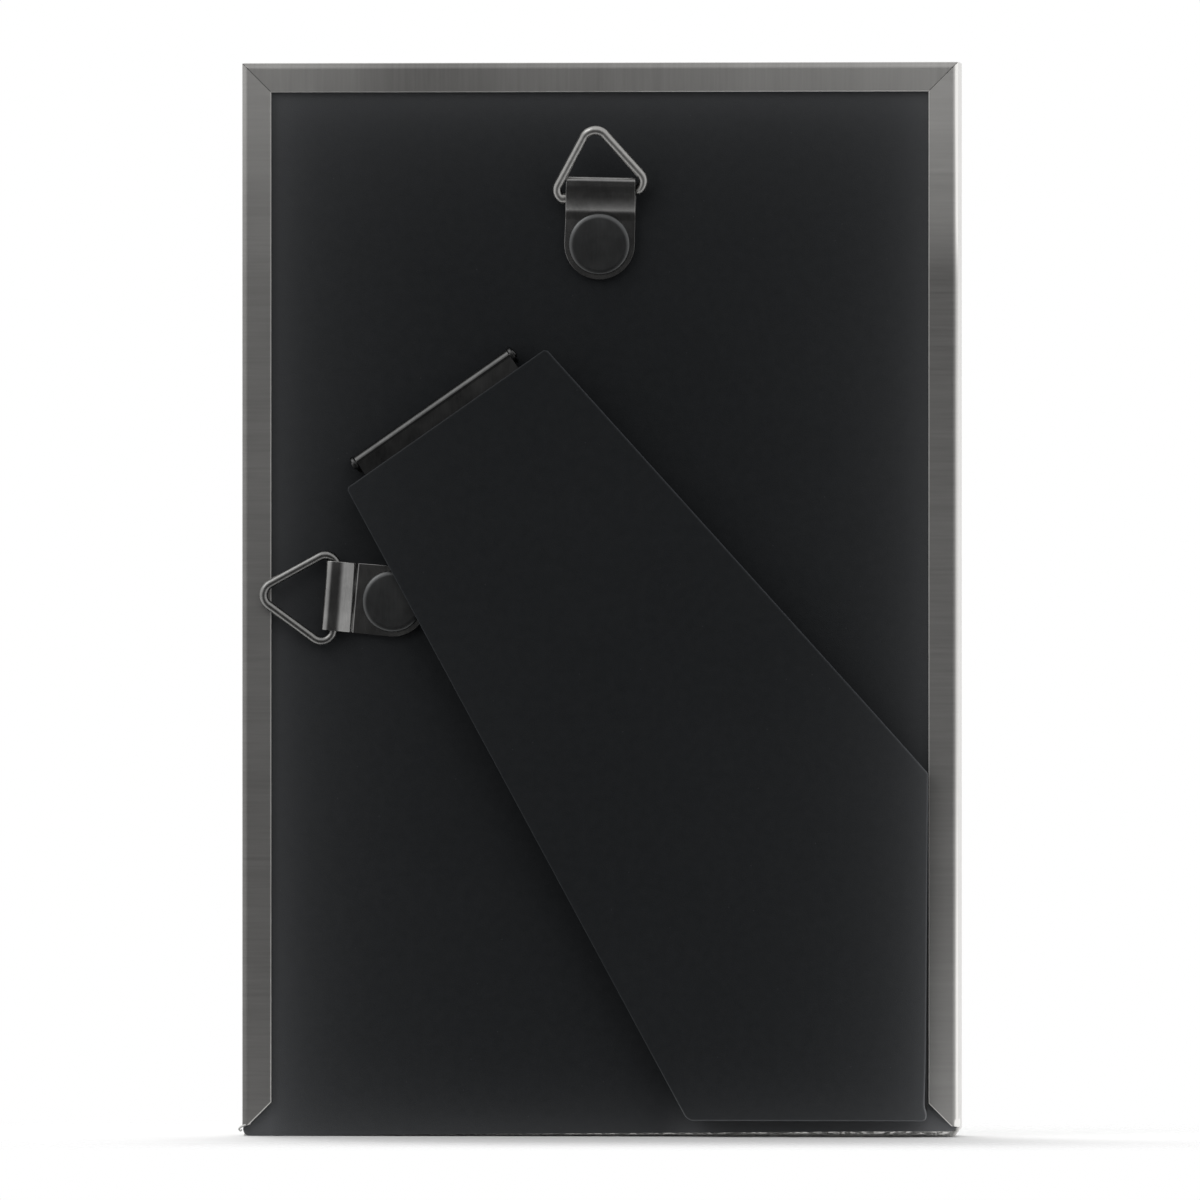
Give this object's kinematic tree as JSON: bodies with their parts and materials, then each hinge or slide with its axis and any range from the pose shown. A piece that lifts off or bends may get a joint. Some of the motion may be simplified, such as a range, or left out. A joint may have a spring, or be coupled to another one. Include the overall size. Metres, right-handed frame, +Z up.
{
  "type": "picture frame",
  "caption": "Slim mitred metal picture frame with a velvet slide-out back, a folding easel leg and triangular wire hanging rings for upright or sideways use.",
  "frame": {"origin": "under the middle of the outline, on the surface that the frame stands on", "axes": "+Z up along the frame's height, -Y towards the picture side, +X to the right of someone who looks at the picture"},
  "size_m": [0.104, 0.0158, 0.1555],
  "materials": {
    "pewter": "brushed, pewter tone",
    "bright_steel": "bright plated",
    "dark_nickel": "dark nickel plated",
    "hinge_steel": "bright steel",
    "flock": "black flocked velvet",
    "lining": "matte lining paper",
    "fibreboard": "grey pressed board",
    "card": "corrugated card",
    "print_paper": "plain paper",
    "glass": "clear"
  },
  "bodies": {
    "panel": {"backing_board": "fibreboard", "backing_cover": "flock", "backing_liner": "lining", "hinge_base": "hinge_steel", "hinge_pin": "hinge_steel", "top_hanger_strap": "dark_nickel", "top_hanger_rivet": "dark_nickel", "top_hanger_washer": "bright_steel", "side_hanger_strap": "dark_nickel", "side_hanger_rivet": "dark_nickel", "side_hanger_washer": "bright_steel"},
    "surround": {"rail_top": "pewter", "rail_bottom": "pewter", "rail_left": "pewter", "rail_right": "pewter", "glass_pane": "glass", "photo_insert": "print_paper", "filler_card": "card"},
    "leg": {"leg_board": "fibreboard", "leg_cover": "flock", "leg_liner": "lining", "hinge_leaf": "hinge_steel", "leaf_rivet_1": "hinge_steel", "leaf_rivet_2": "hinge_steel"},
    "top_ring": {"top_hanger_ring": "bright_steel"},
    "side_ring": {"side_hanger_ring": "bright_steel"}
  },
  "joints": [
    {"name": "frame_slide", "type": "slide", "parent": "panel", "child": "surround", "axis": [0, 0, 1], "range_m": [0, 0.15]},
    {"name": "leg_hinge", "type": "hinge", "parent": "panel", "child": "leg", "pos_m": [0.024, 0.00333, 0.1053], "axis": [0.8202, 0, -0.5721], "range_deg": [0, 35]},
    {"name": "top_ring_swing", "type": "hinge", "parent": "panel", "child": "top_ring", "pos_m": [-0.00045, 0.00285, 0.13669], "axis": [-0.9962, 0, 0.0872], "range_deg": [-25, 120]},
    {"name": "side_ring_swing", "type": "hinge", "parent": "panel", "child": "side_ring", "pos_m": [0.03833, 0.00285, 0.07785], "axis": [-0.0663, 0, 0.9978], "range_deg": [-2, 130]}
  ]
}
